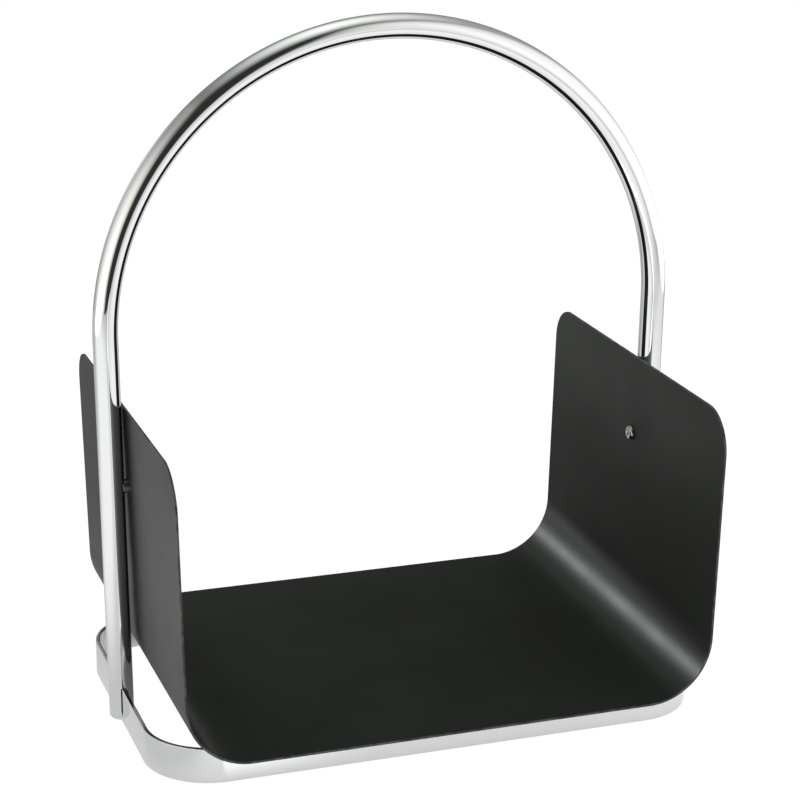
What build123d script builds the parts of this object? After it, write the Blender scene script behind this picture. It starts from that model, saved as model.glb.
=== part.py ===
from build123d import *
import math
import os

# A fireside log rack that is carried by its own hoop handle. One length of round tube is bent
# into an inverted U, and the slotted ends of its legs straddle a ring of flat bar that stands
# on edge as the foot. A folded sheet tray lies across the ring and is held to each leg by one
# screw, which passes through a saddle washer into a threaded insert in the tube.
#
# Axes: +X along the width, from leg to leg, +Y to the back and +Z up. The origin is on the
# floor under the middle of the ring. Lengths are in millimetres and angles in degrees.

# Base ring: flat bar on edge, bent into a rounded rectangle and butt-welded behind.
RING_WIDTH = 396.0
RING_DEPTH = 240.0
RING_CORNER_RADIUS = 47.0
BAR_HEIGHT = 25.0
BAR_THICKNESS = 3.0
BAR_EDGE_ROUND = 0.6
SEAM_OUTER_WIDTH = 1.0
SEAM_INNER_WIDTH = 3.0
SEAM_CROWN = 0.6

# Handle arch: round tube, a little more than a half circle with two straight legs that toe in.
# The slot in each leg is a little wider than the bar, so that the leg drops over it.
ARCH_RADIUS = 200.0
ARCH_CENTRE_Z = 277.0
LEG_TOE_IN = 0.75
LEG_CLEARANCE = 0.6
LEG_SLOT_WIDTH = 4.0
TUBE_RADIUS = 8.6
TUBE_WALL = 1.5

# Leg caps: a disc with a rounded rim and a spigot closes each leg, and is slotted with it.
CAP_HEIGHT = 3.6
CAP_ROUND = 3.2
CAP_SPIGOT_HEIGHT = 4.0

# Fillet welds where the inner half of a leg meets the inner face of the ring's side bar.
WELD_RADIUS = 2.4
WELD_END_MARGIN = 1.2

# Log tray: U of steel sheet with flared sides and rounded top corners, tighter at the back.
SHEET = 1.5
TRAY_DEPTH = 295.0
TRAY_TOP_Z = 229.5
TRAY_FLOOR_HALF_WIDTH = 183.9
TRAY_BEND_RADIUS = 44.0
TRAY_FLARE = 1.4
TRAY_FRONT_CORNER_RADIUS = 29.0
TRAY_REAR_CORNER_RADIUS = 24.0

# Fixing of the tray to each leg: pan head screw, saddle washer and blind threaded insert.
FIXING_Z = 172.0
SCREW_RADIUS = 2.5
SCREW_LENGTH = 12.0
SCREW_TIP_CHAMFER = 0.8
SCREW_HOLE_RADIUS = 2.75
HEAD_RADIUS = 5.25
HEAD_HEIGHT = 3.0
HEAD_ROUND = 2.2
RECESS_LENGTH = 5.4
RECESS_WIDTH = 1.1
RECESS_DEPTH = 2.2
RECESS_FLOOR_RADIUS = 0.9
WASHER_RADIUS = 5.5
WASHER_LIP = 1.4
INSERT_RADIUS = 3.5
INSERT_LENGTH = 9.5
BULGE_RADIUS = 4.8
BULGE_DEPTH = 3.5

# How far a cutting or trimming solid runs past the piece that it cuts.
OVERCUT = 20.0

PARTS_FOLDER = "parts"
TOE = math.radians(LEG_TOE_IN)
FLARE = math.radians(TRAY_FLARE)
BAR_OUTER_X = RING_WIDTH / 2
BAR_INNER_X = BAR_OUTER_X - BAR_THICKNESS
BAR_CENTRE_X = BAR_OUTER_X - BAR_THICKNESS / 2
BORE_RADIUS = TUBE_RADIUS - TUBE_WALL
TRAY_FLOOR_Z = BAR_HEIGHT + SHEET


def leg_x(z):
    """Distance of the right leg's centreline from the middle of the rack at height z."""
    arc_end_x = ARCH_RADIUS * math.cos(TOE)
    arc_end_z = ARCH_CENTRE_Z - ARCH_RADIUS * math.sin(TOE)
    return arc_end_x - (arc_end_z - z) * math.tan(TOE)


def tray_inner_x(z):
    """Distance of the right side's inner face, carried on as a straight line, from the middle."""
    return TRAY_FLOOR_HALF_WIDTH + (z - TRAY_FLOOR_Z) * math.tan(FLARE)


def leg_plane():
    """Frame at the foot of the right leg: its origin is the leg's lowest point, +Z runs up the leg."""
    foot = (leg_x(LEG_CLEARANCE), 0, LEG_CLEARANCE)
    return Plane(origin=foot, x_dir=(0, 1, 0), z_dir=(math.sin(TOE), 0, math.cos(TOE)))


def fixing_plane():
    """Frame of the right screw: its origin is on the tray's inner face, +Z runs into the leg."""
    seat = (tray_inner_x(FIXING_Z), 0, FIXING_Z)
    return Plane(origin=seat, x_dir=(0, 1, 0), z_dir=(math.cos(FLARE), 0, -math.sin(FLARE)))


def tube_depth():
    """Distance along the right screw from the tray's inner face to the near side of the tube."""
    across = leg_x(FIXING_Z) - tray_inner_x(FIXING_Z)
    return (across * math.cos(TOE) - TUBE_RADIUS) / math.cos(FLARE - TOE)


def rod(radius, start, end):
    """A round rod about the local Z axis, from one height to another."""
    return Pos(0, 0, start) * Cylinder(radius, end - start, align=(Align.CENTER, Align.CENTER, Align.MIN))


def leg_rod(radius):
    """A solid rod on the centreline of the right leg, which runs past both ends of the leg."""
    return leg_plane() * rod(radius, -OVERCUT, ARCH_CENTRE_Z)


def side_bar_block(width):
    """A block of that width on the middle of the ring's right side bar, from below up to its top."""
    block = Box(width, 4 * TUBE_RADIUS, BAR_HEIGHT + OVERCUT)
    return Pos(BAR_CENTRE_X, 0, (BAR_HEIGHT - OVERCUT) / 2) * block


def whole_ring():
    """The base ring before its ends are parted: a rounded rectangle with eased long edges."""
    outer = RectangleRounded(RING_WIDTH, RING_DEPTH, RING_CORNER_RADIUS)
    inner_radius = RING_CORNER_RADIUS - BAR_THICKNESS
    inner = RectangleRounded(RING_WIDTH - 2 * BAR_THICKNESS, RING_DEPTH - 2 * BAR_THICKNESS, inner_radius)
    ring = extrude(outer - inner, BAR_HEIGHT)
    long_edges = ring.edges().group_by(Axis.Z)[0] + ring.edges().group_by(Axis.Z)[-1]
    return fillet(long_edges, BAR_EDGE_ROUND)


def seam_wedge():
    """The V groove between the ring's two ends, in the middle of the back bar."""
    outer_y = RING_DEPTH / 2
    inner_y = outer_y - BAR_THICKNESS
    outline = Polyline(
        (-SEAM_OUTER_WIDTH / 2, outer_y),
        (SEAM_OUTER_WIDTH / 2, outer_y),
        (SEAM_INNER_WIDTH / 2, inner_y),
        (-SEAM_INNER_WIDTH / 2, inner_y),
        close=True,
    )
    return extrude(make_face(outline), BAR_HEIGHT)


def base_ring():
    """Flat bar bent on edge into a ring, with its two ends bevelled for the weld."""
    return whole_ring() - seam_wedge()


def ring_seam_weld():
    """Butt weld that fills the groove, ground flush outside and left with a low crown inside."""
    inner_y = RING_DEPTH / 2 - BAR_THICKNESS
    crown_outline = make_face([
        Line((-SEAM_INNER_WIDTH / 2, inner_y), (SEAM_INNER_WIDTH / 2, inner_y)),
        ThreePointArc(
            (SEAM_INNER_WIDTH / 2, inner_y), (0, inner_y - SEAM_CROWN), (-SEAM_INNER_WIDTH / 2, inner_y)
        ),
    ])
    crown_height = BAR_HEIGHT - 2 * BAR_EDGE_ROUND
    crown = Pos(0, 0, BAR_EDGE_ROUND) * extrude(crown_outline, crown_height)
    return (whole_ring() & seam_wedge()) + crown


def arch_path():
    """Centreline of the tube: up the left leg, round the arc and down the right leg."""
    start_z = LEG_CLEARANCE + CAP_HEIGHT * math.cos(TOE)
    start_x = leg_x(start_z)
    arc_end = (ARCH_RADIUS * math.cos(TOE), 0, ARCH_CENTRE_Z - ARCH_RADIUS * math.sin(TOE))
    arc_start = (-arc_end[0], 0, arc_end[2])
    top = (0, 0, ARCH_CENTRE_Z + ARCH_RADIUS)
    return Wire([
        Line((-start_x, 0, start_z), arc_start),
        ThreePointArc(arc_start, top, arc_end),
        Line(arc_end, (start_x, 0, start_z)),
    ])


def handle_arch():
    """The bent tube, with a slot in each foot for the bar and a hole in each leg for the insert."""
    path = arch_path()
    start = Plane(origin=path @ 0, z_dir=path % 0)
    tube = sweep(start * (Circle(TUBE_RADIUS) - Circle(BORE_RADIUS)), path=path)
    hole = fixing_plane() * rod(INSERT_RADIUS, 0, tube_depth() + TUBE_RADIUS)
    cuts = side_bar_block(LEG_SLOT_WIDTH) + hole
    return tube - cuts - mirror(cuts, Plane.YZ)


def leg_cap():
    """Domed cap in the foot of the right leg. The slot for the bar parts it into two halves."""
    disc = rod(TUBE_RADIUS, 0, CAP_HEIGHT)
    disc = fillet(disc.edges().sort_by(Axis.Z)[0], CAP_ROUND)
    spigot = rod(BORE_RADIUS, CAP_HEIGHT, CAP_HEIGHT + CAP_SPIGOT_HEIGHT)
    return leg_plane() * (disc + spigot) - side_bar_block(LEG_SLOT_WIDTH)


def leg_weld():
    """Two fillet beads in the corners between the right leg's inner half and the side bar."""
    offset = leg_x(BAR_HEIGHT / 2) - BAR_INNER_X
    reach = math.sqrt(TUBE_RADIUS**2 - offset**2)
    low = WELD_END_MARGIN + WELD_RADIUS
    high = BAR_HEIGHT - low
    bead = rod(WELD_RADIUS, low, high)
    bead += Pos(0, 0, low) * Sphere(WELD_RADIUS)
    bead += Pos(0, 0, high) * Sphere(WELD_RADIUS)
    beads = Pos(BAR_INNER_X, reach, 0) * bead + Pos(BAR_INNER_X, -reach, 0) * bead
    return beads - leg_rod(TUBE_RADIUS) - side_bar_block(BAR_THICKNESS)


def log_tray():
    """Sheet bent into a U: a flat floor on the ring, two bends and two slightly flared sides."""
    mid_floor_z = TRAY_FLOOR_Z - SHEET / 2
    side_offset = SHEET / 2 / math.cos(FLARE)
    corner_x = tray_inner_x(mid_floor_z) + side_offset
    end_z = TRAY_TOP_Z + OVERCUT
    end_x = tray_inner_x(end_z) + side_offset
    points = [(-end_x, end_z), (-corner_x, mid_floor_z), (corner_x, mid_floor_z), (end_x, end_z)]
    section = trace(FilletPolyline(*points, radius=TRAY_BEND_RADIUS + SHEET / 2), line_width=SHEET)
    folded = extrude(Plane.XZ * section, TRAY_DEPTH / 2, both=True)
    tray = folded & tray_side_blank()
    hole = fixing_plane() * rod(SCREW_HOLE_RADIUS, -OVERCUT, OVERCUT)
    return tray - hole - mirror(hole, Plane.YZ)


def tray_side_blank():
    """Block with the tray's outline as seen from the side, with its rounded top corners."""
    outline = Rectangle(TRAY_DEPTH, 2 * TRAY_TOP_Z)
    outline = fillet(outline.vertices().group_by(Axis.X)[0], TRAY_FRONT_CORNER_RADIUS)
    outline = fillet(outline.vertices().group_by(Axis.X)[-1], TRAY_REAR_CORNER_RADIUS)
    return extrude(Plane.YZ * outline, RING_WIDTH, both=True)


def saddle_washer():
    """Round spacer, flat against the tray and hollowed to sit on the tube."""
    blank = rod(WASHER_RADIUS, SHEET, tube_depth() + WASHER_LIP)
    blank -= rod(SCREW_HOLE_RADIUS, 0, OVERCUT)
    return fixing_plane() * blank - leg_rod(TUBE_RADIUS)


def thread_insert():
    """Blind insert: flush with the tube outside, and crushed into a bulge against its bore."""
    start = tube_depth()
    body = fixing_plane() * rod(INSERT_RADIUS, start, start + INSERT_LENGTH)
    bulge = fixing_plane() * rod(BULGE_RADIUS, start, start + BULGE_DEPTH)
    thread = fixing_plane() * rod(SCREW_RADIUS, 0, OVERCUT)
    return (body & leg_rod(TUBE_RADIUS)) + (bulge & leg_rod(BORE_RADIUS)) - thread


def cross_recess():
    """Tapered cross that the screwdriver fits, cut down from the crown of the head."""
    arm = Box(RECESS_LENGTH, RECESS_WIDTH, 2 * RECESS_DEPTH)
    taper = Cone(RECESS_LENGTH / 2, RECESS_FLOOR_RADIUS, RECESS_DEPTH, align=(Align.CENTER, Align.CENTER, Align.MIN))
    cross = (arm + Rot(0, 0, 90) * arm) & taper
    return Pos(0, 0, -HEAD_HEIGHT) * cross


def tray_screw():
    """Pan head machine screw with a cross recess, driven from inside the tray."""
    head = rod(HEAD_RADIUS, -HEAD_HEIGHT, 0)
    head = fillet(head.edges().sort_by(Axis.Z)[0], HEAD_ROUND)
    shank = rod(SCREW_RADIUS, 0, SCREW_LENGTH)
    shank = chamfer(shank.edges().sort_by(Axis.Z)[-1], SCREW_TIP_CHAMFER)
    return fixing_plane() * (head + shank - cross_recess())


def main():
    os.makedirs(PARTS_FOLDER, exist_ok=True)
    pieces = {
        "base_ring": base_ring(),
        "ring_seam_weld": ring_seam_weld(),
        "handle_arch": handle_arch(),
        "log_tray": log_tray(),
    }
    handed = {
        "leg_cap": leg_cap(),
        "leg_weld": leg_weld(),
        "saddle_washer": saddle_washer(),
        "thread_insert": thread_insert(),
        "tray_screw": tray_screw(),
    }
    for name, piece in handed.items():
        pieces[name + "_right"] = piece
        pieces[name + "_left"] = mirror(piece, Plane.YZ)
    for name, piece in pieces.items():
        export_step(piece, os.path.join(PARTS_FOLDER, name + ".step"))


main()
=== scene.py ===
import bpy
import math
import numpy as np
from mathutils import Matrix, Vector


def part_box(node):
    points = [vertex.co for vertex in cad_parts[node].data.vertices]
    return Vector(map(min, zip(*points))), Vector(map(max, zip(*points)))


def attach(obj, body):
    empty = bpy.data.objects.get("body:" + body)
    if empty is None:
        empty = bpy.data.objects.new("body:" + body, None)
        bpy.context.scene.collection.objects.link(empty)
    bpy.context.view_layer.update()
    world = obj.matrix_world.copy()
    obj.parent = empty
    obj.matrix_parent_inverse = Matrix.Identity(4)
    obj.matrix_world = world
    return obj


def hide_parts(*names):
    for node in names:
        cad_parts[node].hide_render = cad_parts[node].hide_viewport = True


# The fireside log rack: a hoop of bright tube on a ring of flat bar, with a folded black tray.
# Everything is in metres, +X from the left leg to the right one, +Y to the back, +Z up.
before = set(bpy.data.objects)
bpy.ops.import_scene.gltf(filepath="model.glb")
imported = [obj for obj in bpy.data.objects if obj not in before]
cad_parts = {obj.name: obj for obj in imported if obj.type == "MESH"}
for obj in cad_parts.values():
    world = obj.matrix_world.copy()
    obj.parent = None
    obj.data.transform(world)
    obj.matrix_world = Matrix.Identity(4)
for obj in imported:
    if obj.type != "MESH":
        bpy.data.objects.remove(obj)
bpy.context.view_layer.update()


# ---------------------------------------------------------------------------------------------
# View. The rack is seen from its front left corner, from a little above the top of the handle,
# with a long lens, and the camera leans by half a degree.
# ---------------------------------------------------------------------------------------------
VIEW_PLACE = Vector((-0.5088, -1.49464, 0.71999))
VIEW_YAW = math.radians(19.083)
VIEW_PITCH = math.radians(17.741)
VIEW_ROLL = math.radians(0.464)
FOCAL_PER_FRAME = 2.9555
SENSOR = 36.0


def view_rotation(yaw, pitch, roll):
    """Rotation of a camera that looks along +Y, turned by yaw towards +X, tilted down and rolled."""
    look = Vector((math.sin(yaw) * math.cos(pitch), math.cos(yaw) * math.cos(pitch), -math.sin(pitch)))
    right = Vector((math.cos(yaw), -math.sin(yaw), 0.0))
    up = right.cross(look)
    rolled_right = math.cos(roll) * right + math.sin(roll) * up
    rolled_up = math.cos(roll) * up - math.sin(roll) * right
    return Matrix((rolled_right, rolled_up, -look)).transposed()


view_lens = bpy.data.cameras.new("view")
view_lens.sensor_width = SENSOR
view_lens.lens = FOCAL_PER_FRAME * SENSOR
view_lens.clip_end = 100.0
view = bpy.data.objects.new("view", view_lens)
view.matrix_world = view_rotation(VIEW_YAW, VIEW_PITCH, VIEW_ROLL).to_4x4()
view.location = VIEW_PLACE
bpy.context.scene.collection.objects.link(view)
bpy.context.scene.camera = view
bpy.context.scene.view_settings.view_transform = "Standard"


# ---------------------------------------------------------------------------------------------
# Studio. Bright plate shows whatever stands round it, so the light is a room: a wall-sized
# diffuser on each side, one overhead, a grey wall behind and a dark camera side.
# ---------------------------------------------------------------------------------------------
class Shade:
    """A socket in a shader tree. Arithmetic on it adds Math nodes, and make() adds any other node."""

    def __init__(self, tree, socket=None):
        self.tree = tree
        self.socket = socket

    def make(self, kind, settings=None, inputs=None, output=0):
        """Adds a node of that kind, sets it up, fills or links its inputs and returns one output."""
        node = self.tree.nodes.new("ShaderNode" + kind)
        for name, value in (settings or {}).items():
            if name == "stops":
                fill_ramp(node.color_ramp, value)
            else:
                setattr(node, name, value)
        for name, value in (inputs or {}).items():
            if isinstance(value, Shade):
                self.tree.links.new(value.socket, node.inputs[name])
            else:
                node.inputs[name].default_value = value
        return Shade(self.tree, node.outputs[output] if len(node.outputs) else None)

    def math(self, operation, *values):
        return self.make("Math", {"operation": operation}, dict(enumerate(values)))

    def __add__(self, other):
        return self.math("ADD", self, other)

    def __radd__(self, other):
        return self.math("ADD", other, self)

    def __sub__(self, other):
        return self.math("SUBTRACT", self, other)

    def __rsub__(self, other):
        return self.math("SUBTRACT", other, self)

    def __mul__(self, other):
        return self.math("MULTIPLY", self, other)

    def __rmul__(self, other):
        return self.math("MULTIPLY", other, self)

    def __truediv__(self, other):
        return self.math("DIVIDE", self, other)

    def __rtruediv__(self, other):
        return self.math("DIVIDE", other, self)

    def __pow__(self, power):
        return self.math("POWER", self, power)

    def __neg__(self):
        return 0.0 - self

    def __abs__(self):
        return self.math("ABSOLUTE", self)

    def at_least(self, low):
        return self.math("MAXIMUM", self, low)

    def rise(self, low, high):
        """0 below low, 1 above high and a smooth S between them."""
        settings = {"interpolation_type": "SMOOTHSTEP"}
        return self.make("MapRange", settings, {"Value": self, "From Min": low, "From Max": high})

    def fall(self, low, high):
        return 1.0 - self.rise(low, high)

    def parts(self):
        """The three numbers of a vector."""
        split = self.make("SeparateXYZ", None, {0: self})
        return [Shade(self.tree, socket) for socket in split.socket.node.outputs]


def fill_ramp(ramp, stops):
    """Gives a colour ramp its stops, as (place, colour) pairs."""
    while len(ramp.elements) < len(stops):
        ramp.elements.new(1.0)
    for element, (place, colour) in zip(ramp.elements, stops):
        element.position = place
        element.color = colour


def tint(value, colour):
    """A colour scaled by a value."""
    return value.make("VectorMath", {"operation": "SCALE"}, {0: colour, "Scale": value})


def add_colours(first, *others):
    """The sum of several colours."""
    total = first
    for other in others:
        total = total.make("VectorMath", {"operation": "ADD"}, {0: total, 1: other})
    return total


def blend_colours(share, low, high):
    """The colour low where share is 0, high where it is 1 and a mix between."""
    return share.make("Mix", {"data_type": "RGBA"}, {"Factor": share, "A": low, "B": high}, 2)


def studio_light(tree):
    """Brightness of the room in each direction. Each diffuser is a flat panel, so it is drawn in
    the panel's own plane: the direction's other two numbers divided by the one that faces it."""
    x, y, z = Shade(tree).make("TexCoord").parts()
    left_u = y / (-x).at_least(0.001)
    left_v = z / (-x).at_least(0.001)
    right_u = y / x.at_least(0.001)
    right_v = z / x.at_least(0.001)
    over_u = x / z.at_least(0.001)
    over_v = y / z.at_least(0.001)

    left_up = (1.0 - 0.57 * left_v.rise(-0.14, 0.87)) * left_v.fall(0.43, 1.36)
    left = 1.45 * left_u.rise(-2.57, -0.3) * (1.0 - 0.92 * left_u.rise(-1.2, 1.4)) * left_up
    left_lip = 0.08 * left_u.rise(-2.57, -0.3) * abs(left_v - 1.17).fall(0.0, 0.29)
    left_rear = 0.62 * abs(left_v - 0.44).fall(0.0, 0.86) * left_u.rise(-0.94, 4.9)

    right_top = right_v + 0.58 * right_u
    right_along = right_u.rise(-7.1, 0.0) * (1.0 - 0.19 * right_u.rise(0.05, 1.0))
    right = 1.4 * right_along * right_top.fall(0.57, 1.23) * right_top.fall(-1.0, 2.05)

    over_along = over_v.rise(-1.51, 0.3) * (1.0 - 0.96 * over_v.rise(-0.13, 1.67))
    over = 1.38 * abs(over_u - 0.04).fall(-0.29, 0.81) * over_along

    room = 0.032 + 0.2 * y.rise(-0.74, -0.18) + 0.17 * x.rise(0.0, 0.6) * z.rise(0.1, 0.7)
    return add_colours(
        tint(left, (1.02, 1.04, 0.95)),
        tint(left_lip, (1.29, 1.34, 0.81)),
        tint(left_rear, (1.05, 1.03, 1.2)),
        tint(right, (0.98, 0.96, 0.95)),
        tint(over, (0.96, 1.0, 0.94)),
        tint(room, (0.9, 0.94, 0.9)),
    )


BACKDROP = (1.0, 1.0, 1.0, 1.0)
studio = bpy.data.worlds.new("studio")
studio.use_nodes = True
studio.node_tree.nodes.clear()
bpy.context.scene.world = studio
room_light = studio_light(studio.node_tree)
seen_directly = room_light.make("LightPath")
shown = blend_colours(seen_directly, room_light, BACKDROP)
background = shown.make("Background", None, {"Color": shown})
background.make("OutputWorld", None, {"Surface": background})


# ---------------------------------------------------------------------------------------------
# Floor. A sheet of plain white paper on a light table. It is shaded under the tray, and its glow
# fades to the back, to the right and towards the camera. The eye sees it nearly white.
# ---------------------------------------------------------------------------------------------
FLOOR_HALF = 1.25
PAPER_WHITE = (0.86, 0.86, 0.86, 1.0)
PAPER_LIGHT = (1.0, 1.0, 1.0, 1.0)
TABLE_FULL = 1.14
TABLE_GLOW = 0.78
NEAR_LOSS = 0.2
UNDER_LOSS = 0.9
SEEN_GLOW = 0.93
SEEN_BRIGHT = 1.08


def new_material(name):
    """An empty node material and a Shade on its tree."""
    material = bpy.data.materials.new(name)
    material.use_nodes = True
    material.node_tree.nodes.clear()
    return material, Shade(material.node_tree)


def table_strength(x, y):
    """Strength of the glow at a place on the table: the full strength, less what it fades towards
    the back, the right and the camera and beside the left leg, plus a patch at the front left."""
    # Painted shade: the glow fades towards the back, the right and the camera, and dips beside the left leg.
    back = 0.62 * y.rise(0.02, 0.62)
    right = 0.2 * x.rise(0.3, 1.1)
    camera_side = 0.5 * y.fall(-1.25, -0.6)
    beside = 0.34 * x.fall(-0.22, -0.16) * x.rise(-0.42, -0.24)
    # Painted light: a bright patch of glow on the floor just in front of the ring at the front left.
    front_left = 0.9 * x.rise(-0.155, -0.148) * x.fall(-0.13, -0.04) * y.fall(-0.16, -0.12)
    return TABLE_FULL - back - right - camera_side - beside + front_left


def glow_share(x, y):
    """How much of the floor's light is glow and not light thrown back by the paper: less near the
    rack, and nearly none in the rectangle under the tray."""
    under = abs(x).fall(0.15, 0.21) * abs(y).fall(0.08, 0.135)
    near = (x * x + y * y).fall(0.03, 0.25)
    return (TABLE_GLOW - NEAR_LOSS * near) * (1.0 - UNDER_LOSS * under)


floor_mesh = bpy.data.meshes.new("floor")
floor_corners = FLOOR_HALF * np.array([(-1, -1, 0), (1, -1, 0), (1, 1, 0), (-1, 1, 0)])
floor_mesh.from_pydata(floor_corners.tolist(), [], [(0, 1, 2, 3)])
floor = bpy.data.objects.new("floor", floor_mesh)
bpy.context.scene.collection.objects.link(floor)
paper, start = new_material("floor_paper")
floor_x, floor_y, _ = start.make("TexCoord", None, None, 3).parts()
seen = start.make("LightPath")
table = table_strength(floor_x, floor_y)
share = glow_share(floor_x, floor_y)
matt = start.make("BsdfDiffuse", None, {"Color": PAPER_WHITE})
strength = table + (SEEN_BRIGHT - table) * seen
glow = start.make("Emission", None, {"Color": PAPER_LIGHT, "Strength": strength})
lit = start.make("MixShader", None, {0: share + (SEEN_GLOW - share) * seen, 1: matt, 2: glow})
lit.make("OutputMaterial", None, {"Surface": lit})
floor_mesh.materials.append(paper)


# ---------------------------------------------------------------------------------------------
# Foot ring. Flat steel bar on edge, bent round a former into a rounded rectangle, its ends
# bevelled for the seam behind. It is polished and chromed with the rest of the frame.
# ---------------------------------------------------------------------------------------------
BAR_THICK = 0.003
BAR_EASE = 0.0006
RING_CORNER = 0.047
CORNER_STEPS = 44
STRAIGHT_STEP = 0.006
EASE_STEPS = 5
FACE_STEPS = 8
SEAM_OUTER_HALF = 0.0005
SEAM_INNER_HALF = 0.0015
SHARP = math.radians(40.0)
PLATE_TINT = (0.87, 0.875, 0.885, 1.0)
PLATE_SHADE = (0.80, 0.805, 0.80, 1.0)


def skin_of_rings(rings, plan):
    """A solid from a row of closed outlines, (rows, columns, 3). Each outline is joined to the
    next by quads, and the first and last are filled. plan holds (rows, columns + 1, 2) places."""
    rows, columns = rings.shape[:2]
    corner = np.arange(rows * columns).reshape(rows, columns)
    corner = np.concatenate([corner, corner[:, :1]], axis=1)
    spot = np.arange(rows * (columns + 1)).reshape(rows, columns + 1)
    both = np.stack([corner, spot], axis=-1)
    quads = np.stack([both[:-1, :-1], both[:-1, 1:], both[1:, 1:], both[1:, :-1]], axis=-2).reshape(-1, 4, 2)
    ends = [both[0, -2::-1], both[-1, :-1]]
    faces = quads[..., 0].tolist() + [end[:, 0].tolist() for end in ends]
    places = np.concatenate([quads[..., 1].ravel()] + [end[:, 1] for end in ends])
    return rings.reshape(-1, 3), faces, plan.reshape(-1, 2)[places]


def new_piece(name, points, faces, plan):
    """A smooth-shaded object from points, faces and one place on the plan for each face corner."""
    mesh = bpy.data.meshes.new(name)
    mesh.from_pydata(points.tolist(), [], faces)
    mesh.uv_layers.new(name="plan").uv.foreach_set("vector", plan.ravel())
    mesh.shade_smooth()
    mesh.set_sharp_from_angle(angle=SHARP)
    piece = bpy.data.objects.new(name, mesh)
    bpy.context.scene.collection.objects.link(piece)
    return piece


def distance_along(points):
    """Distance from the first point of a line to each of its points."""
    steps = np.linalg.norm(np.diff(points, axis=0), axis=1)
    return np.concatenate([[0.0], np.cumsum(steps)])


def straight(start, end, step):
    """Evenly spaced numbers from start to end, without the last."""
    return np.linspace(start, end, max(2, round(abs(end - start) / step)), endpoint=False)


def bar_outline(height):
    """Closed outline of the bar as (depth from the outer face, height): four flats with a quarter
    circle of the ease radius between each two."""
    turn = np.linspace(0.0, math.pi / 2, EASE_STEPS + 1)
    far, high = BAR_THICK - BAR_EASE, height - BAR_EASE
    centres = [(BAR_EASE, high), (far, high), (far, BAR_EASE), (BAR_EASE, BAR_EASE)]
    rows = []
    for quarter, (depth, level) in enumerate(centres):
        angle = math.pi - quarter * math.pi / 2 - turn
        arc = np.stack([depth + BAR_EASE * np.cos(angle), level + BAR_EASE * np.sin(angle)], axis=1)
        after = centres[(quarter + 1) % 4]
        flat = np.linspace(0.0, 1.0, FACE_STEPS + 1)[1:-1, None]
        shift = np.array(after) - np.array((depth, level))
        rows += [arc, arc[-1] + flat * shift]
    return np.concatenate(rows)


def ring_line(half_x, half_y, radius):
    """The ring's outer face seen from above, from the right of the seam round to its left, as
    points and outward directions: straights, with quarter circles at the corners."""
    turn = np.linspace(0.0, math.pi / 2, CORNER_STEPS, endpoint=False)
    flat_x, flat_y = half_x - radius, half_y - radius
    corners = [(flat_x, flat_y), (flat_x, -flat_y), (-flat_x, -flat_y), (-flat_x, flat_y)]
    first_x = straight(0.0, flat_x, STRAIGHT_STEP)
    points = [np.stack([first_x, np.full(len(first_x), half_y)], axis=1)]
    outward = [np.tile((0.0, 1.0), (len(points[0]), 1))]
    for number, centre in enumerate(corners):
        angle = math.pi / 2 - number * math.pi / 2 - turn
        direction = np.stack([np.cos(angle), np.sin(angle)], axis=1)
        points.append(centre + radius * direction)
        outward.append(direction)
        facing = np.array([math.cos(angle[0] - math.pi / 2), math.sin(angle[0] - math.pi / 2)])
        start = centre + radius * facing
        end = corners[number + 1] + radius * facing if number < 3 else np.array((0.0, half_y))
        share = straight(0.0, 1.0, STRAIGHT_STEP / np.linalg.norm(end - start))[:, None]
        points.append(start + share * (end - start))
        outward.append(np.tile(facing, (len(share), 1)))
    points.append(np.array([(0.0, half_y)]))
    outward.append(np.array([(0.0, 1.0)]))
    return np.concatenate(points), np.concatenate(outward)


def bright_plate(name, place_output, stretch):
    """Chrome over polished steel: nearly a mirror, with a faint grain along the way it was buffed,
    cloudy finger haze and a slow waviness. stretch scales the place so that the grain runs long."""
    material, start = new_material(name)
    place = start.make("TexCoord", None, None, place_output)
    long_place = place.make("Mapping", None, {"Vector": place, "Scale": stretch})
    grain = place.make("TexNoise", None, {"Vector": long_place, "Scale": 1.0, "Detail": 4.0})
    body = start.make("TexCoord", None, None, 3)
    haze = place.make("TexNoise", None, {"Vector": body, "Scale": 38.0, "Detail": 5.0, "Roughness": 0.62})
    wave = place.make("TexNoise", None, {"Vector": body, "Scale": 26.0, "Detail": 1.0})
    specks = place.make("TexVoronoi", None, {"Vector": body, "Scale": 420.0, "Randomness": 1.0})
    pit = specks.fall(0.03, 0.09)
    smear = haze.rise(0.52, 0.72)
    rough = 0.028 + 0.05 * smear + 0.03 * grain.rise(0.45, 0.75) + 0.12 * pit
    colour = blend_colours(0.35 * smear + 0.5 * pit, PLATE_TINT, PLATE_SHADE)
    slow = wave.make("Bump", None, {"Height": wave, "Distance": 0.00006, "Strength": 1.0})
    fine = grain.make("Bump", None, {"Height": grain, "Distance": 0.0000012, "Strength": 1.0, "Normal": slow})
    surface = colour.make(
        "BsdfPrincipled", None, {"Base Color": colour, "Metallic": 1.0, "Roughness": rough, "Normal": fine}
    )
    surface.make("OutputMaterial", None, {"Surface": surface})
    return material


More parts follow.
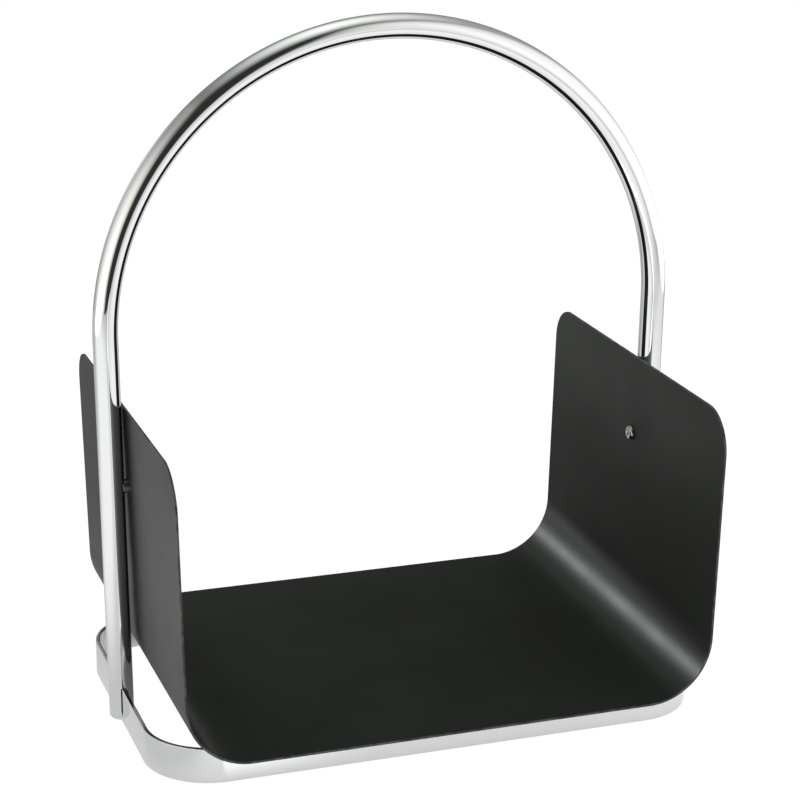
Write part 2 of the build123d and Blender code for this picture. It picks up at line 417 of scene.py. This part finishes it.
ring_low, ring_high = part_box("base_ring")
bar_height = ring_high[2] - ring_low[2]
outline = bar_outline(bar_height)
line, outward = ring_line(ring_high[0], ring_high[1], RING_CORNER)
line_3d = np.column_stack([line, np.full(len(line), ring_low[2])])
outward_3d = np.column_stack([outward, np.zeros(len(outward))])
ring_rows = line_3d[:, None] - outline[None, :, :1] * outward_3d[:, None]
ring_rows[..., 2] += outline[None, :, 1]
seam_half = SEAM_OUTER_HALF + outline[:, 0] / BAR_THICK * (SEAM_INNER_HALF - SEAM_OUTER_HALF)
ring_rows[0, :, 0] = seam_half
ring_rows[-1, :, 0] = -seam_half
round_bar = distance_along(np.concatenate([outline, outline[:1]]))
ring_plan = np.stack(np.meshgrid(distance_along(line), round_bar, indexing="ij"), axis=-1)
foot_ring = new_piece("foot_ring", *skin_of_rings(ring_rows, ring_plan))
foot_ring.modifiers.new("flat faces stay flat", "WEIGHTED_NORMAL").keep_sharp = True
foot_ring.data.materials.append(bright_plate("bar_plate", 2, (12.0, 2600.0, 1.0)))
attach(foot_ring, "root")
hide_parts("base_ring")


# ---------------------------------------------------------------------------------------------
# Ring seam. A butt weld run up the groove between the bar's ends, ground flush outside and left
# with its ripples on a low crown inside, then plated over.
# ---------------------------------------------------------------------------------------------
SEAM_CROWN = 0.0006
SEAM_RIPPLES = 13
SEAM_ROWS = 105
CROWN_STEPS = 12
WELD_TINT = (0.72, 0.725, 0.73, 1.0)
WELD_SHADE = (0.50, 0.50, 0.49, 1.0)


def seam_rings():
    """Outlines up the seam: a wedge, wide inside, whose inner side is a bow. The bow's height goes
    up and down as |sin| for the ripples, later in the middle so that they are crescents, and the
    outer side draws in by the bar's eased edge at the top and bottom."""
    up = np.linspace(0.0, bar_height, SEAM_ROWS)[:, None]
    edge = np.clip(BAR_EASE - np.minimum(up, bar_height - up), 0.0, BAR_EASE)
    drawn_in = BAR_EASE - np.sqrt(BAR_EASE**2 - edge**2)
    across = np.linspace(-1.0, 1.0, CROWN_STEPS + 1)[None]
    phase = math.pi * SEAM_RIPPLES * (up / bar_height) + 0.9 * across**2
    swell = 0.78 + 0.22 * np.abs(np.sin(phase))
    bow = SEAM_CROWN * (1.0 - across**2) * swell * (drawn_in < 0.3 * BAR_EASE)
    crown_x = SEAM_INNER_HALF * across + 0.0 * up
    crown_y = ring_high[1] - BAR_THICK + drawn_in - bow
    flush_x = SEAM_OUTER_HALF * np.array([[1.0, 0.0, -1.0]]) + 0.0 * up
    flush_y = ring_high[1] - drawn_in + 0.0 * flush_x
    x = np.concatenate([crown_x, flush_x], axis=1)
    y = np.concatenate([crown_y, flush_y], axis=1)
    return np.stack([x, y, ring_low[2] + up + 0.0 * x], axis=-1)


def weld_metal(name):
    """Plated weld: rougher and greyer than the polished bar, with fine spatter and darker clouds."""
    material, start = new_material(name)
    body = start.make("TexCoord", None, None, 3)
    cloud = body.make("TexNoise", None, {"Vector": body, "Scale": 260.0, "Detail": 5.0})
    spatter = body.make("TexVoronoi", None, {"Vector": body, "Scale": 900.0})
    grit = spatter.fall(0.05, 0.35)
    colour = blend_colours(cloud.rise(0.4, 0.7), WELD_TINT, WELD_SHADE)
    rough = 0.14 + 0.2 * cloud.rise(0.35, 0.75) + 0.1 * grit
    bump = cloud.make("Bump", None, {"Height": cloud + 0.4 * grit, "Distance": 0.00008, "Strength": 1.0})
    surface = colour.make(
        "BsdfPrincipled", None, {"Base Color": colour, "Metallic": 1.0, "Roughness": rough, "Normal": bump}
    )
    surface.make("OutputMaterial", None, {"Surface": surface})
    return material


def unrolled(rings):
    """A plan for a row of outlines: distance up the first column, and distance round the first row."""
    first = rings[0]
    around = distance_along(np.concatenate([first, first[:1]]))
    return np.stack(np.meshgrid(distance_along(rings[:, 0]), around, indexing="ij"), axis=-1)


weld_plate = weld_metal("weld_plate")
seam = seam_rings()
seam_bead = new_piece("ring_seam_bead", *skin_of_rings(seam, unrolled(seam)))
seam_bead.data.materials.append(weld_plate)
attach(seam_bead, "root")
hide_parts("ring_seam_weld")


# ---------------------------------------------------------------------------------------------
# Handle tube. One length of 17.2 mm steel tube bent into a hoop whose legs toe in a little. Each
# foot is sawn with a slot that drops over the ring, and each leg is drilled for its insert.
# ---------------------------------------------------------------------------------------------
TUBE_RADIUS = 0.0086
TUBE_WALL = 0.0015
LEG_TOE_IN = math.radians(0.75)
SLOT_HALF = 0.002
INSERT_RADIUS = 0.0035
SLOT_COLUMNS = (0, 13, 18, 44, 49, 62)
ARC_STEPS = 260
LEG_STEP = 0.003
FOOT_STEP = 0.0014
HOLE_STEP = 0.0008
HOLE_RING = 4
CALM_RING = 8
SLOT_EASE = 0.00018


def walled(outer, inner, kept, plan, closed):
    """A thick skin. outer and inner are (rows, columns, 3) grids of points on its two faces. Each
    kept cell of the grid gives one quad on each face, and each edge between a kept cell and a cut
    one, or the border, gives one quad across the wall. The columns join up if closed is true."""
    rows, columns = outer.shape[:2]
    corner = np.arange(rows * columns).reshape(rows, columns)
    if closed:
        corner = np.concatenate([corner, corner[:, :1]], axis=1)
    spot = np.arange(corner.size).reshape(corner.shape)
    both = np.stack([corner, spot], axis=-1)
    through = np.array([rows * columns, 0])
    face = np.stack([both[:-1, :-1], both[:-1, 1:], both[1:, 1:], both[1:, :-1]], axis=-2)[kept]
    quads = [face, face[:, ::-1] + through]

    before = np.concatenate([kept[:, -1:], kept], axis=1) if closed else np.pad(kept, ((0, 0), (1, 1)))
    row_change = np.diff(np.pad(kept, ((1, 1), (0, 0))).astype(int), axis=0)
    column_change = np.diff(before.astype(int), axis=1)
    for way in (1, -1):
        i, j = np.nonzero(row_change == way)
        p, q = both[i, j], both[i, j + 1]
        quads.append(np.stack([q, p, p + through, q + through], axis=1)[:, ::way])
        i, j = np.nonzero(column_change == way)
        p, q = both[i, j], both[i + 1, j]
        quads.append(np.stack([p, q, q + through, p + through], axis=1)[:, ::way])
    quads = np.concatenate(quads)
    used, faces = np.unique(quads[..., 0], return_inverse=True)
    points = np.concatenate([outer.reshape(-1, 3), inner.reshape(-1, 3)])[used]
    return points, faces.reshape(-1, 4).tolist(), plan.reshape(-1, 2)[quads[..., 1]]


def drilled(along, across, row, column, radius):
    """Opens a round hole in a flat grid. The square of vertices HOLE_RING steps from the centre
    vertex goes onto the circle, and each square beyond follows it less, down to none at CALM_RING.
    Gives the moved grid and the cells that are left."""
    i = np.arange(along.shape[0])[:, None] - row
    j = np.arange(along.shape[1])[None] - column
    ring = np.maximum(np.abs(i), np.abs(j))
    reach = np.maximum(np.hypot(i, j), 1.0)
    size = radius * ring / HOLE_RING
    calm = np.clip((ring - HOLE_RING) / (CALM_RING - HOLE_RING), 0.0, 1.0)
    share = np.where(ring < HOLE_RING, 0.0, 1.0 - calm * calm * (3.0 - 2.0 * calm))
    along = along + share * (along[row, column] + size * i / reach - along)
    across = across + share * (across[row, column] + size * j / reach - across)
    middle_i = np.abs(np.arange(along.shape[0] - 1) + 0.5 - row)[:, None]
    middle_j = np.abs(np.arange(along.shape[1] - 1) + 0.5 - column)[None]
    return along, across, np.maximum(middle_i, middle_j) > HOLE_RING


def rows_between(*stops):
    """Places from the first stop to the last: pairs of (place, step up to the next place)."""
    spans = [straight(a, b, step) for (a, step), (b, _) in zip(stops[:-1], stops[1:])]
    return np.concatenate(spans + [[stops[-1][0]]])


def column_shares():
    """How much each column's angle takes from each of the six slot angles."""
    columns = np.arange(SLOT_COLUMNS[-1])
    return np.stack([np.interp(columns, SLOT_COLUMNS, row) for row in np.eye(len(SLOT_COLUMNS))], axis=1)


arch_low, arch_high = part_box("handle_arch")
arch_radius = arch_high[0] - TUBE_RADIUS
arch_centre_z = arch_high[2] - TUBE_RADIUS - arch_radius
leg_length = (arch_centre_z - arch_radius * math.sin(LEG_TOE_IN) - arch_low[2]) / math.cos(LEG_TOE_IN)
leg_length -= TUBE_RADIUS * math.tan(LEG_TOE_IN)
washer_low, washer_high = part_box("saddle_washer_left")
fixing_z = (washer_low[2] + washer_high[2]) / 2
slot_top = (bar_height - arch_low[2]) / math.cos(LEG_TOE_IN)
fixing_along = (fixing_z - arch_low[2]) / math.cos(LEG_TOE_IN)
hole_reach = CALM_RING * HOLE_STEP
leg_rows = rows_between(
    (0.0, FOOT_STEP),
    (slot_top, LEG_STEP),
    (fixing_along - hole_reach, HOLE_STEP),
    (fixing_along + hole_reach, LEG_STEP),
    (leg_length, LEG_STEP),
)
arc_length = arch_radius * (math.pi + 2 * LEG_TOE_IN)
arc_rows = np.linspace(0.0, arc_length, ARC_STEPS + 1)[1:]
tube_length = 2 * leg_length + arc_length
way = np.concatenate([leg_rows, leg_length + arc_rows, tube_length - leg_rows[-2::-1]])


def tube_frame(way):
    """Centre of the tube and its outward direction at each distance along it. The turn is held at
    the toe-in along the legs and grows evenly with distance round the arc."""
    on_arc = np.clip(way - leg_length, 0.0, arc_length)
    angle = math.pi + LEG_TOE_IN - on_arc / arch_radius
    outward = np.stack([np.cos(angle), 0.0 * angle, np.sin(angle)], axis=1)
    centre = arch_radius * outward + (0.0, 0.0, arch_centre_z)
    onward = np.stack([np.sin(angle), 0.0 * angle, -np.cos(angle)], axis=1)
    return centre + (way - leg_length - on_arc)[:, None] * onward, outward


def tube_skin(radius):
    """Points of one face of the tube's wall, with a column of vertices on each edge of the slots
    and a round hole in the inner side of each leg, and the cells that the holes leave."""
    centre, outward = tube_frame(way)
    bar_middle = ring_high[0] - BAR_THICK / 2
    off_middle = np.abs(centre[:, :1]) - bar_middle
    off_middle = np.where(centre[:, 2:] < bar_height, off_middle, off_middle[leg_rows.searchsorted(slot_top)])
    near = np.arccos((SLOT_HALF - off_middle) / radius)
    far = np.arccos((-SLOT_HALF - off_middle) / radius)
    turn = 2 * math.pi
    knots = np.concatenate([0 * near, near, far, turn - far, turn - near, turn + 0 * near], axis=1)
    angle = knots @ column_shares().T
    along = np.repeat(way[:, None], angle.shape[1], axis=1)
    across = -radius * np.sin(angle)
    kept = np.ones((len(way) - 1, angle.shape[1]), dtype=bool)
    middle = (SLOT_COLUMNS[2] + SLOT_COLUMNS[3]) // 2
    for place in (fixing_along, tube_length - fixing_along):
        row = np.abs(way - place).argmin()
        along, across, left = drilled(along, across, row, middle, INSERT_RADIUS)
        kept[:, :-1] &= left
    inner_side = np.abs(np.arange(angle.shape[1]) - middle) <= CALM_RING
    angle = np.where(inner_side, math.pi + np.arcsin(across / radius), angle)
    flat_way = along.ravel()
    centre, outward = tube_frame(flat_way)
    round_it = np.cos(angle).reshape(-1, 1) * outward - np.sin(angle).reshape(-1, 1) * (0.0, 1.0, 0.0)
    return (centre + radius * round_it).reshape(*angle.shape, 3), kept


outer_skin, holes_left = tube_skin(TUBE_RADIUS)
bore_skin, _ = tube_skin(TUBE_RADIUS - TUBE_WALL)
tube_kept = holes_left.copy()
in_foot = np.minimum(way[1:], tube_length - way[:-1]) < slot_top + FOOT_STEP / 2
for first, last in (SLOT_COLUMNS[1:3], SLOT_COLUMNS[3:5]):
    tube_kept[in_foot, first:last] = False
around = TUBE_RADIUS * np.linspace(0.0, 2 * math.pi, outer_skin.shape[1] + 1)
tube_plan = np.stack(np.meshgrid(way, around, indexing="ij"), axis=-1)
handle_tube = new_piece("handle_tube", *walled(outer_skin, bore_skin, tube_kept, tube_plan, True))
ease = handle_tube.modifiers.new("deburred edges", "BEVEL")
ease.width = SLOT_EASE
ease.segments = 2
ease.limit_method = "ANGLE"
ease.angle_limit = SHARP
ease.harden_normals = True
handle_tube.data.materials.append(bright_plate("tube_plate", 2, (9.0, 2200.0, 1.0)))
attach(handle_tube, "root")
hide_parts("handle_arch")


# ---------------------------------------------------------------------------------------------
# Leg caps. A turned steel plug with a rounded rim closes each leg. It was pressed in before the
# slot was sawn, so the slot parts it too, and it is plated with the tube.
# ---------------------------------------------------------------------------------------------
turned_plate = bright_plate("turned_plate", 3, (300.0, 300.0, 1500.0))
for side in ("left", "right"):
    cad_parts["leg_cap_" + side].material_slots[0].material = turned_plate


# ---------------------------------------------------------------------------------------------
# Leg welds. A short fillet bead on each side of each leg, on the inner face of the ring, where
# it doesn't show. The ripples of the weld pool are left as they set, under the plating.
# ---------------------------------------------------------------------------------------------
BEAD_RIPPLES = 11
BEAD_ROWS = 100
BEAD_COLUMNS = 24
RIPPLE_DEPTH = 0.07


def bead_rings(x, y, low, high, radius):
    """Outlines up one bead: circles whose radius falls to nearly nothing at both ends as a
    superellipse, less the ripples, which are |sin| along the bead and lag round its sides."""
    t = np.linspace(0.004, 0.996, BEAD_ROWS)[:, None]
    angle = np.linspace(0.0, 2 * math.pi, BEAD_COLUMNS, endpoint=False)[None]
    ripple = np.abs(np.sin(math.pi * BEAD_RIPPLES * t + 0.7 * np.cos(angle)))
    blunt = (1.0 - np.abs(2.0 * t - 1.0) ** 7) ** 0.5
    size = radius * blunt * (1.0 - RIPPLE_DEPTH + RIPPLE_DEPTH * ripple)
    z = low + t * (high - low) + 0.0 * angle
    return np.stack([x + size * np.cos(angle), y + size * np.sin(angle), z], axis=-1)


for side in ("left", "right"):
    weld_low, weld_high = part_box("leg_weld_" + side)
    bead_radius = weld_high[0] - weld_low[0]
    bar_face = weld_low[0] if side == "left" else weld_high[0]
    bead_y = weld_high[1] - bead_radius
    beads = [bead_rings(bar_face, y, weld_low[2], weld_high[2], bead_radius) for y in (bead_y, -bead_y)]
    parts = [skin_of_rings(rings, unrolled(rings)) for rings in beads]
    shift = len(parts[0][0])
    faces = parts[0][1] + [[corner + shift for corner in face] for face in parts[1][1]]
    points = np.concatenate([parts[0][0], parts[1][0]])
    leg_bead = new_piece("leg_bead_" + side, points, faces, np.concatenate([parts[0][2], parts[1][2]]))
    leg_bead.data.materials.append(weld_plate)
    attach(leg_bead, "root")
    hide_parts("leg_weld_" + side)


# ---------------------------------------------------------------------------------------------
# Log tray. 1.5 mm sheet, cut with rounded corners, folded round a large former into a U with
# slightly flared sides, and powder coated satin black after the holes are punched.
# ---------------------------------------------------------------------------------------------
SHEET = 0.0015
BEND_RADIUS = 0.044
FLARE = math.radians(1.4)
FRONT_CORNER = 0.029
REAR_CORNER = 0.024
HOLE_RADIUS = 0.00275
CORNER_ROWS = 18
BEND_STEP = 0.0016
SIDE_STEP = 0.005
EDGE_ROWS = (0.0, 0.0006, 0.0016, 0.004)
COAT_EDGE = 0.00045
FLOOR_DULL = (0.028, 0.036)
SIDE_DULL = (0.056, 0.072)
SIDE_TOP_CALM = (0.12, 0.21)
SMOOTH_HEIGHT = 0.048
SMOOTH_REACH = (0.004, 0.018)
COAT_BLACK = (0.0036, 0.0040, 0.0034, 1.0)
COAT_DUSTY = (0.0065, 0.0062, 0.0054, 1.0)
COAT_SHEEN = (0.91, 1.0, 0.91, 1.0)
COAT_RUBBED_HIGHLIGHT = (0.075, 0.077, 0.074, 1.0)


def section_frame(along):
    """Point on the inside of the sheet and the direction out through it, at each distance from
    the middle of the floor: straight, then round the bend, then straight up the flared side."""
    bend_angle = math.pi / 2 - FLARE
    reach = np.abs(along) - floor_half
    turned = np.clip(reach / BEND_RADIUS, 0.0, bend_angle)
    flat = np.minimum(reach, 0.0)
    rise = np.maximum(reach - BEND_RADIUS * bend_angle, 0.0)
    x = floor_half + flat + BEND_RADIUS * np.sin(turned) + rise * np.sin(FLARE)
    z = tray_floor_z + BEND_RADIUS * (1.0 - np.cos(turned)) + rise * np.cos(FLARE)
    mirror = np.where(along < 0.0, -1.0, 1.0)
    return mirror * x, z, mirror * np.sin(turned), -np.cos(turned)


tray_low, tray_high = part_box("log_tray")
tray_floor_z = tray_low[2] + SHEET
side_top = tray_high[2]
flank = side_top - tray_floor_z - BEND_RADIUS * (1.0 - math.sin(FLARE))
floor_half = tray_high[0] - SHEET * math.cos(FLARE) - flank * math.tan(FLARE) - BEND_RADIUS * math.cos(FLARE)
bend_length = BEND_RADIUS * (math.pi / 2 - FLARE)
half_length = floor_half + bend_length + flank / math.cos(FLARE)
head_low, head_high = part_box("tray_screw_right")
screw_along = half_length - (side_top - (head_low[2] + head_high[2]) / 2) / math.cos(FLARE)
hole_pitch = HOLE_RADIUS / HOLE_RING
hole_span = CALM_RING * hole_pitch

corner_turn = np.linspace(0.0, math.pi / 2, CORNER_ROWS + 1)
corner_rows = half_length - FRONT_CORNER * (1.0 - np.cos(corner_turn))
right_rows = rows_between(
    (0.0, SIDE_STEP),
    (floor_half, BEND_STEP),
    (floor_half + bend_length, SIDE_STEP),
    (screw_along - hole_span, hole_pitch),
    (screw_along + hole_span, SIDE_STEP),
    (corner_rows[-1], SIDE_STEP),
)
section_rows = np.concatenate([right_rows, corner_rows[-2::-1]])
section_rows = np.concatenate([-section_rows[:0:-1], section_rows])
half_depth = tray_high[1]
edge = half_depth - np.array(EDGE_ROWS)
across_rows = rows_between((0.0, hole_pitch), (hole_span, SIDE_STEP), (edge[-1], SIDE_STEP))
across_rows = np.concatenate([across_rows, edge[-2::-1]])
across_rows = np.concatenate([-across_rows[:0:-1], across_rows])

corner = np.where(across_rows < 0.0, FRONT_CORNER, REAR_CORNER)
past_corner = np.clip(np.abs(section_rows)[:, None] - (half_length - corner), 0.0, corner)
row_half = half_depth - corner + np.sqrt(corner**2 - past_corner**2)
tray_along = np.repeat(section_rows[:, None], len(across_rows), axis=1)
calm_middle = np.clip((np.abs(across_rows) - hole_span) / (half_depth - hole_span), 0.0, 1.0)
tray_across = across_rows - np.sign(across_rows) * calm_middle * (half_depth - row_half)
tray_kept = np.ones((len(section_rows) - 1, len(across_rows) - 1), dtype=bool)
for place in (-screw_along, screw_along):
    row = np.abs(section_rows - place).argmin()
    column = np.abs(across_rows).argmin()
    tray_along, tray_across, left = drilled(tray_along, tray_across, row, column, HOLE_RADIUS)
    tray_kept &= left

inside_x, inside_z, through_x, through_z = section_frame(tray_along)
tray_inside = np.stack([inside_x, tray_across, inside_z], axis=-1)
tray_outside = tray_inside + SHEET * np.stack([through_x, 0.0 * through_x, through_z], axis=-1)
tray_plan = np.stack([tray_along, tray_across], axis=-1)
sheet_tray = new_piece("sheet_tray", *walled(tray_outside, tray_inside, tray_kept, tray_plan, False))
corners = len(sheet_tray.data.vertices)
log_side = sheet_tray.data.attributes.new("log_side", "FLOAT", "POINT")
log_side.data.foreach_set("value", (np.arange(corners) >= corners / 2).astype(float))
ease = sheet_tray.modifiers.new("coated edges", "BEVEL")
ease.width = COAT_EDGE
ease.segments = 3
ease.limit_method = "ANGLE"
ease.angle_limit = SHARP
ease.harden_normals = True


def powder_coat(name):
    """Satin black powder: a fine orange peel with a finer grit on it, thinner and rubbed paler along
    the cut edges, a paleness that is partly wear and partly a painted highlight. Inside the tray the logs
    have dulled it, least of all in the bends."""
    material, start = new_material(name)
    body = start.make("TexCoord", None, None, 3)
    plan_u, plan_v, _ = start.make("TexCoord", None, None, 2).parts()
    corner = FRONT_CORNER + (REAR_CORNER - FRONT_CORNER) * plan_v.math("GREATER_THAN", plan_v, 0.0)
    over_u = (abs(plan_u) - (half_length - corner)).at_least(0.0)
    over_v = (abs(plan_v) - (half_depth - corner)).at_least(0.0)
    from_edge = corner - (over_u * over_u + over_v * over_v) ** 0.5

    peel = body.make("TexNoise", None, {"Vector": body, "Scale": 1150.0, "Detail": 2.0})
    grit = body.make("TexNoise", None, {"Vector": body, "Scale": 5200.0, "Detail": 1.0})
    cloud = body.make("TexNoise", None, {"Vector": body, "Scale": 14.0, "Detail": 4.0})
    chips = body.make("TexNoise", None, {"Vector": body, "Scale": 130.0, "Detail": 3.0})
    streaks = body.make("Mapping", None, {"Vector": body, "Scale": (900.0, 22.0, 120.0)})
    scuff = body.make("TexNoise", None, {"Vector": streaks, "Scale": 1.0, "Detail": 3.0})

    _, _, height = body.parts()
    low_down = height.fall(*FLOOR_DULL)
    inside = start.make("Attribute", {"attribute_name": "log_side"}, None, 2)
    above_bend = height.rise(*SIDE_DULL) * (0.45 + 0.55 * height.fall(*SIDE_TOP_CALM))
    dulled = inside * (low_down + above_bend)
    polished = inside * abs(height - SMOOTH_HEIGHT).fall(*SMOOTH_REACH)
    # The pale rim along the cut edges is partly wear in chips and partly a painted highlight.
    rubbed_edge_and_highlight = from_edge.fall(0.0001, 0.0009) * (0.25 + 0.75 * chips.rise(0.38, 0.66))
    dusty = 0.5 * low_down * cloud.rise(0.45, 0.7) + 0.35 * low_down * scuff.rise(0.62, 0.74)
    colour = blend_colours(rubbed_edge_and_highlight, blend_colours(dusty, COAT_BLACK, COAT_DUSTY), COAT_RUBBED_HIGHLIGHT)
    rough = 0.4 + 0.06 * cloud.rise(0.35, 0.7) + 0.4 * dulled + 0.05 * dusty - 0.12 * (rubbed_edge_and_highlight + polished)
    coarse = peel.make("Bump", None, {"Height": peel, "Distance": 0.000022, "Strength": 1.0})
    fine = {"Height": grit, "Distance": 0.000003, "Strength": 1.0, "Normal": coarse}
    normal = grit.make("Bump", None, fine)
    surface = colour.make(
        "BsdfPrincipled",
        None,
        {
            "Base Color": colour,
            "Roughness": rough,
            "Normal": normal,
            "Specular IOR Level": 0.5,
            "Specular Tint": COAT_SHEEN,
        },
    )
    surface.make("OutputMaterial", None, {"Surface": surface})
    return material


sheet_tray.data.materials.append(powder_coat("satin_black_powder"))
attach(sheet_tray, "root")
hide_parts("log_tray")

# A lamp low behind the left side gives the sheen along the right bend. It lights the tray alone.
LAMP_SIZE = (0.5, 0.2)
LAMP_POWER = 2.0
LAMP_PLACE = Vector((-0.58, 1.11, 0.42))
LAMP_AIM = Vector((0.18, -0.08, 0.05))
tray_light = bpy.data.lights.new("tray_light", "AREA")
tray_light.shape = "RECTANGLE"
tray_light.size, tray_light.size_y = LAMP_SIZE
tray_light.energy = LAMP_POWER
lamp = bpy.data.objects.new("tray_light", tray_light)
lamp.location = LAMP_PLACE
lamp.rotation_euler = (LAMP_AIM - LAMP_PLACE).to_track_quat("-Z", "Y").to_euler()
bpy.context.scene.collection.objects.link(lamp)
lamp_reach = bpy.data.collections.new("lit by the tray light")
lamp_reach.objects.link(sheet_tray)
lamp.light_linking.receiver_collection = lamp_reach


# ---------------------------------------------------------------------------------------------
# Screws and saddle washers. M5 pan head screws with a cross recess, driven from inside the tray
# through a turned washer that is hollowed to sit on the tube. Both are bright plated.
# ---------------------------------------------------------------------------------------------
FASTENER_TINT = (0.46, 0.465, 0.46, 1.0)
FASTENER_RECESS_SHADE = (0.02, 0.019, 0.018, 1.0)
RECESS_START = 0.0010
RECESS_END = 0.0021


def fastener_plate(name, face_x):
    """Plated steel with turning marks round the screw's axis and painted shade low in the recess,
    which lies deeper than the head's face."""
    material, start = new_material(name)
    body = start.make("TexCoord", None, None, 3)
    x, y, z = body.parts()
    up = z - fixing_z
    from_axis = (y * y + up * up) ** 0.5
    rings = {"W": from_axis, "Scale": 9000.0, "Detail": 2.0}
    turning = body.make("TexNoise", {"noise_dimensions": "1D"}, rings)
    cloud = body.make("TexNoise", None, {"Vector": body, "Scale": 900.0, "Detail": 3.0})
    # Painted shade: the recess is darkened where it lies deeper than the head's face.
    recess_shade = (abs(x) - face_x).rise(RECESS_START, RECESS_END) * from_axis.fall(0.0026, 0.0029)
    colour = blend_colours(recess_shade * 0.85, FASTENER_TINT, FASTENER_RECESS_SHADE)
    rough = 0.09 + 0.1 * turning.rise(0.4, 0.7) + 0.05 * cloud + 0.4 * recess_shade
    bump = turning.make("Bump", None, {"Height": turning, "Distance": 0.000002, "Strength": 1.0})
    surface = colour.make(
        "BsdfPrincipled", None, {"Base Color": colour, "Metallic": 1.0, "Roughness": rough, "Normal": bump}
    )
    surface.make("OutputMaterial", None, {"Surface": surface})
    return material


fastener = fastener_plate("fastener_plate", head_low[0])
for side in ("left", "right"):
    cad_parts["tray_screw_" + side].material_slots[0].material = fastener
    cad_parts["saddle_washer_" + side].material_slots[0].material = fastener


# ---------------------------------------------------------------------------------------------
# Thread inserts. Blind steel inserts, zinc plated, crushed against the bore of the tube when
# they were set. Only their ends show, under the washers.
# ---------------------------------------------------------------------------------------------
ZINC_LIGHT = (0.62, 0.63, 0.64, 1.0)
ZINC_DARK = (0.44, 0.45, 0.45, 1.0)
zinc, start = new_material("zinc_plate")
body = start.make("TexCoord", None, None, 3)
spangle = body.make("TexVoronoi", None, {"Vector": body, "Scale": 1400.0})
dull = body.make("TexNoise", None, {"Vector": body, "Scale": 500.0, "Detail": 4.0})
zinc_colour = blend_colours(0.5 * spangle + 0.5 * dull, ZINC_LIGHT, ZINC_DARK)
zinc_bump = dull.make("Bump", None, {"Height": dull, "Distance": 0.00001, "Strength": 1.0})
zinc_surface = dull.make(
    "BsdfPrincipled",
    None,
    {"Base Color": zinc_colour, "Metallic": 1.0, "Roughness": 0.25 + 0.2 * dull, "Normal": zinc_bump},
)
zinc_surface.make("OutputMaterial", None, {"Surface": zinc_surface})
for side in ("left", "right"):
    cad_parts["thread_insert_" + side].material_slots[0].material = zinc
